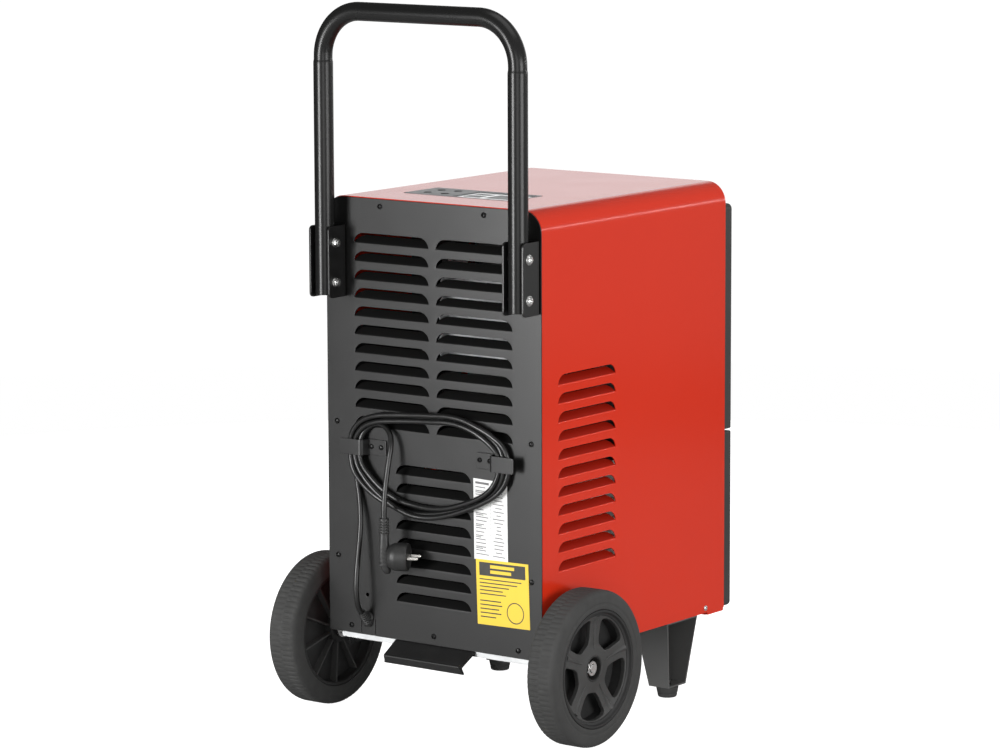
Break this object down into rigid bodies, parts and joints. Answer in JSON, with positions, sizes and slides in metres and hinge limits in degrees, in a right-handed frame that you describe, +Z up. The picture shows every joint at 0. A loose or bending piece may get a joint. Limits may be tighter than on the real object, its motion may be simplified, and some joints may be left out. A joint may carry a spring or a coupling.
{
  "type": "portable dehumidifier",
  "caption": "Wheeled commercial dehumidifier: folded sheet-metal casing with louvred back, tubular push handle, slide-out water tank and a mains cord wound on hooks.",
  "frame": {"origin": "bottom centre of the bounding box, on the floor", "axes": "+Z up; the louvred back and handle face +Y, the water tank and intake grille face -Y; the axle runs along X"},
  "size_m": [0.4582, 0.487, 0.9284],
  "materials": {
    "red_paint": "semi-gloss red powder coat",
    "grey_paint": "satin dark grey powder coat",
    "black_plastic": "fine-grained black plastic",
    "zinc": "galvanised sheet",
    "steel": "bright zinc-plated steel",
    "copper": "copper tube",
    "fins": "pressed aluminium fins",
    "wheel_plastic": "moulded dark plastic",
    "tyre": "solid rubber",
    "foot_rubber": "matt rubber",
    "handle_paint": "gloss black paint on steel tube",
    "tread_paint": "textured black powder coat",
    "tank_plastic": "translucent white polyethylene",
    "filter_mesh": "woven filter mesh in a frame",
    "board": "printed circuit board",
    "display": "clear window over a grey display",
    "float_foam": "closed-cell foam",
    "cord_rubber": "satin black PVC sheath",
    "black_steel": "black enamelled steel",
    "bezel_plastic": "grey plastic",
    "button_plastic": "soft dark plastic"
  },
  "bodies": {
    "chassis": {"casing_shell": "red_paint", "rear_panel": "grey_paint", "front_bulkhead": "red_paint", "front_grille": "black_plastic", "air_filter": "filter_mesh", "base_pan": "zinc", "divider_shelf": "zinc", "drip_tray": "black_plastic", "evaporator_coil": "fins", "condenser_coil": "fins", "fan_shroud": "black_plastic", "fan_motor": "black_steel", "compressor": "black_steel", "compressor_mount": "foot_rubber", "suction_pipe": "copper", "discharge_pipe": "copper", "filter_drier": "copper", "float_switch": "black_plastic", "electrical_box": "zinc", "control_board": "board", "control_bezel": "bezel_plastic", "lcd_window": "display", "handle_tube": "handle_paint", "handle_bracket_left": "grey_paint", "handle_bracket_right": "grey_paint", "handle_bolt_left_lower": "steel", "handle_bolt_right_lower": "steel", "handle_bolt_left_upper": "steel", "handle_bolt_right_upper": "steel", "axle": "steel", "axle_nut_left": "steel", "axle_nut_right": "steel", "axle_bracket_left": "zinc", "axle_bracket_right": "zinc", "front_leg_left": "grey_paint", "front_leg_right": "grey_paint", "foot_left": "foot_rubber", "foot_right": "foot_rubber", "tread_plate": "tread_paint", "cord_hook_left": "grey_paint", "cord_hook_right": "grey_paint", "cord_gland": "cord_rubber", "cord_lead": "cord_rubber", "cord_coil": "cord_rubber", "cord_tail": "cord_rubber", "power_plug": "cord_rubber"},
    "wheel_left": {"wheel_rim_left": "wheel_plastic", "tyre_left": "tyre"},
    "wheel_right": {"wheel_rim_right": "wheel_plastic", "tyre_right": "tyre"},
    "fan": {"fan_wheel": "black_plastic"},
    "button_a": {"button_1": "button_plastic"},
    "button_b": {"button_2": "button_plastic"},
    "button_c": {"button_3": "button_plastic"},
    "button_d": {"button_4": "button_plastic"},
    "tank": {"water_tank": "tank_plastic", "tank_front": "black_plastic"},
    "float": {"tank_float": "float_foam"}
  },
  "joints": [
    {"name": "wheel_left_spin", "type": "hinge", "parent": "chassis", "child": "wheel_left", "pos_m": [0.2, 0.1435, 0.1], "axis": [1, 0, 0], "continuous": true},
    {"name": "wheel_right_spin", "type": "hinge", "parent": "chassis", "child": "wheel_right", "pos_m": [-0.2, 0.1435, 0.1], "axis": [1, 0, 0], "continuous": true},
    {"name": "fan_spin", "type": "hinge", "parent": "chassis", "child": "fan", "pos_m": [0, 0.028, 0.505], "axis": [0, 1, 0], "continuous": true},
    {"name": "tank_slide", "type": "slide", "parent": "chassis", "child": "tank", "axis": [0, -1, 0], "range_m": [0, 0.25]},
    {"name": "float_tilt", "type": "hinge", "parent": "tank", "child": "float", "pos_m": [0.112, -0.061, 0.303], "axis": [-1, 0, 0], "range_deg": [0, 12]},
    {"name": "button_a_press", "type": "slide", "parent": "chassis", "child": "button_a", "axis": [0, 0, -1], "range_m": [0, 0.001], "stiffness_N_per_m": 400},
    {"name": "button_b_press", "type": "slide", "parent": "chassis", "child": "button_b", "axis": [0, 0, -1], "range_m": [0, 0.001], "stiffness_N_per_m": 400},
    {"name": "button_c_press", "type": "slide", "parent": "chassis", "child": "button_c", "axis": [0, 0, -1], "range_m": [0, 0.001], "stiffness_N_per_m": 400},
    {"name": "button_d_press", "type": "slide", "parent": "chassis", "child": "button_d", "axis": [0, 0, -1], "range_m": [0, 0.001], "stiffness_N_per_m": 400}
  ]
}
